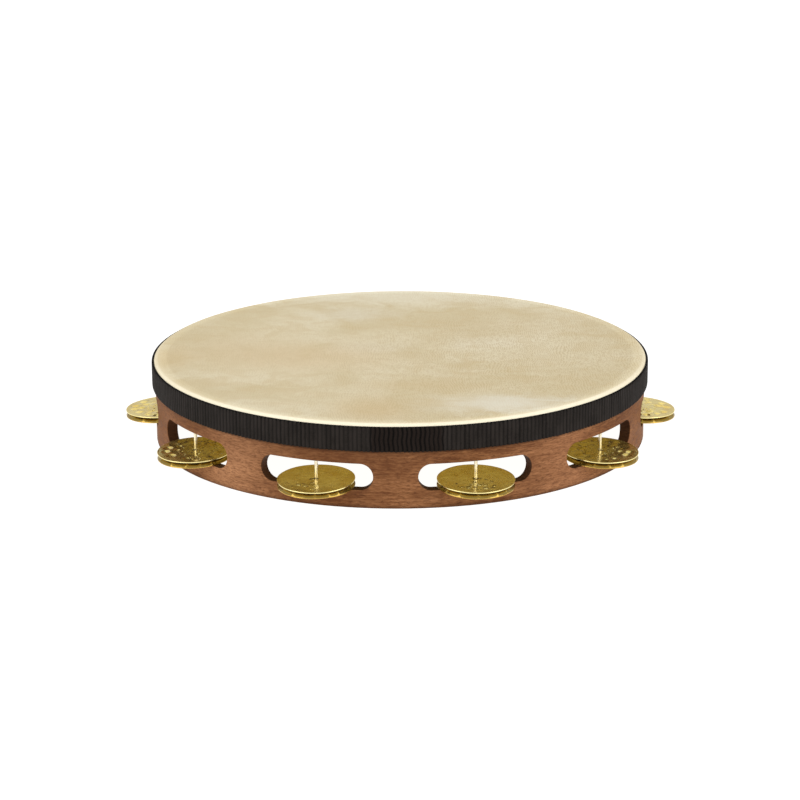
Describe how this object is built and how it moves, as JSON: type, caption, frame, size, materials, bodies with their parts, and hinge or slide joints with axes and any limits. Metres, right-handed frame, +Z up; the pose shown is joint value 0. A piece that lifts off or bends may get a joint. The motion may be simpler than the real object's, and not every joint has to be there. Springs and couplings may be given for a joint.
{
  "type": "tambourine",
  "caption": "Round wooden tambourine with a hide head, a black ribbon round its edge and one row of slots holding pairs of hammered brass jingles on pins.",
  "frame": {"origin": "on the hoop's axis, in the plane that the hoop's bottom edge rests on", "axes": "+Z up out of the head; -Y is the front, midway between two jingle slots; +X to the right of it, through a jingle pin"},
  "size_m": [0.2872, 0.275, 0.0427],
  "materials": {
    "wood": "walnut-stained open-grain wood with a thin satin oil finish",
    "hide": "natural untanned hide, matt, mottled cream and tan",
    "ribbon": "black ribbed woven ribbon with a dull sheen",
    "jingle_brass": "bright hammered sheet brass",
    "pin_steel": "bright drawn steel nail",
    "tack_steel": "plain steel tack"
  },
  "bodies": {
    "frame": {"wooden_hoop": "wood", "hide_head": "hide", "head_tacks": "tack_steel", "edge_ribbon": "ribbon", "jingle_pin_01": "pin_steel", "jingle_pin_02": "pin_steel", "jingle_pin_03": "pin_steel", "jingle_pin_04": "pin_steel", "jingle_pin_05": "pin_steel", "jingle_pin_06": "pin_steel", "jingle_pin_07": "pin_steel", "jingle_pin_08": "pin_steel", "jingle_pin_09": "pin_steel", "jingle_pin_10": "pin_steel"},
    "lower_jingle_01": {"jingle_lower_01": "jingle_brass"},
    "upper_jingle_01": {"jingle_upper_01": "jingle_brass"},
    "lower_jingle_02": {"jingle_lower_02": "jingle_brass"},
    "upper_jingle_02": {"jingle_upper_02": "jingle_brass"},
    "lower_jingle_03": {"jingle_lower_03": "jingle_brass"},
    "upper_jingle_03": {"jingle_upper_03": "jingle_brass"},
    "lower_jingle_04": {"jingle_lower_04": "jingle_brass"},
    "upper_jingle_04": {"jingle_upper_04": "jingle_brass"},
    "lower_jingle_05": {"jingle_lower_05": "jingle_brass"},
    "upper_jingle_05": {"jingle_upper_05": "jingle_brass"},
    "lower_jingle_06": {"jingle_lower_06": "jingle_brass"},
    "upper_jingle_06": {"jingle_upper_06": "jingle_brass"},
    "lower_jingle_07": {"jingle_lower_07": "jingle_brass"},
    "upper_jingle_07": {"jingle_upper_07": "jingle_brass"},
    "lower_jingle_08": {"jingle_lower_08": "jingle_brass"},
    "upper_jingle_08": {"jingle_upper_08": "jingle_brass"},
    "lower_jingle_09": {"jingle_lower_09": "jingle_brass"},
    "upper_jingle_09": {"jingle_upper_09": "jingle_brass"},
    "lower_jingle_10": {"jingle_lower_10": "jingle_brass"},
    "upper_jingle_10": {"jingle_upper_10": "jingle_brass"}
  },
  "joints": [
    {"name": "lower_jingle_01_slide", "type": "slide", "parent": "frame", "child": "lower_jingle_01", "axis": [0, 0, 1], "range_m": [0, 0.0045]},
    {"name": "upper_jingle_01_slide", "type": "slide", "parent": "lower_jingle_01", "child": "upper_jingle_01", "axis": [0, 0, 1], "range_m": [0, 0.0045]},
    {"name": "lower_jingle_02_slide", "type": "slide", "parent": "frame", "child": "lower_jingle_02", "axis": [0, 0, 1], "range_m": [0, 0.0045]},
    {"name": "upper_jingle_02_slide", "type": "slide", "parent": "lower_jingle_02", "child": "upper_jingle_02", "axis": [0, 0, 1], "range_m": [0, 0.0045]},
    {"name": "lower_jingle_03_slide", "type": "slide", "parent": "frame", "child": "lower_jingle_03", "axis": [0, 0, 1], "range_m": [0, 0.0045]},
    {"name": "upper_jingle_03_slide", "type": "slide", "parent": "lower_jingle_03", "child": "upper_jingle_03", "axis": [0, 0, 1], "range_m": [0, 0.0045]},
    {"name": "lower_jingle_04_slide", "type": "slide", "parent": "frame", "child": "lower_jingle_04", "axis": [0, 0, 1], "range_m": [0, 0.0045]},
    {"name": "upper_jingle_04_slide", "type": "slide", "parent": "lower_jingle_04", "child": "upper_jingle_04", "axis": [0, 0, 1], "range_m": [0, 0.0045]},
    {"name": "lower_jingle_05_slide", "type": "slide", "parent": "frame", "child": "lower_jingle_05", "axis": [0, 0, 1], "range_m": [0, 0.0045]},
    {"name": "upper_jingle_05_slide", "type": "slide", "parent": "lower_jingle_05", "child": "upper_jingle_05", "axis": [0, 0, 1], "range_m": [0, 0.0045]},
    {"name": "lower_jingle_06_slide", "type": "slide", "parent": "frame", "child": "lower_jingle_06", "axis": [0, 0, 1], "range_m": [0, 0.0045]},
    {"name": "upper_jingle_06_slide", "type": "slide", "parent": "lower_jingle_06", "child": "upper_jingle_06", "axis": [0, 0, 1], "range_m": [0, 0.0045]},
    {"name": "lower_jingle_07_slide", "type": "slide", "parent": "frame", "child": "lower_jingle_07", "axis": [0, 0, 1], "range_m": [0, 0.0045]},
    {"name": "upper_jingle_07_slide", "type": "slide", "parent": "lower_jingle_07", "child": "upper_jingle_07", "axis": [0, 0, 1], "range_m": [0, 0.0045]},
    {"name": "lower_jingle_08_slide", "type": "slide", "parent": "frame", "child": "lower_jingle_08", "axis": [0, 0, 1], "range_m": [0, 0.0045]},
    {"name": "upper_jingle_08_slide", "type": "slide", "parent": "lower_jingle_08", "child": "upper_jingle_08", "axis": [0, 0, 1], "range_m": [0, 0.0045]},
    {"name": "lower_jingle_09_slide", "type": "slide", "parent": "frame", "child": "lower_jingle_09", "axis": [0, 0, 1], "range_m": [0, 0.0045]},
    {"name": "upper_jingle_09_slide", "type": "slide", "parent": "lower_jingle_09", "child": "upper_jingle_09", "axis": [0, 0, 1], "range_m": [0, 0.0045]},
    {"name": "lower_jingle_10_slide", "type": "slide", "parent": "frame", "child": "lower_jingle_10", "axis": [0, 0, 1], "range_m": [0, 0.0045]},
    {"name": "upper_jingle_10_slide", "type": "slide", "parent": "lower_jingle_10", "child": "upper_jingle_10", "axis": [0, 0, 1], "range_m": [0, 0.0045]}
  ]
}
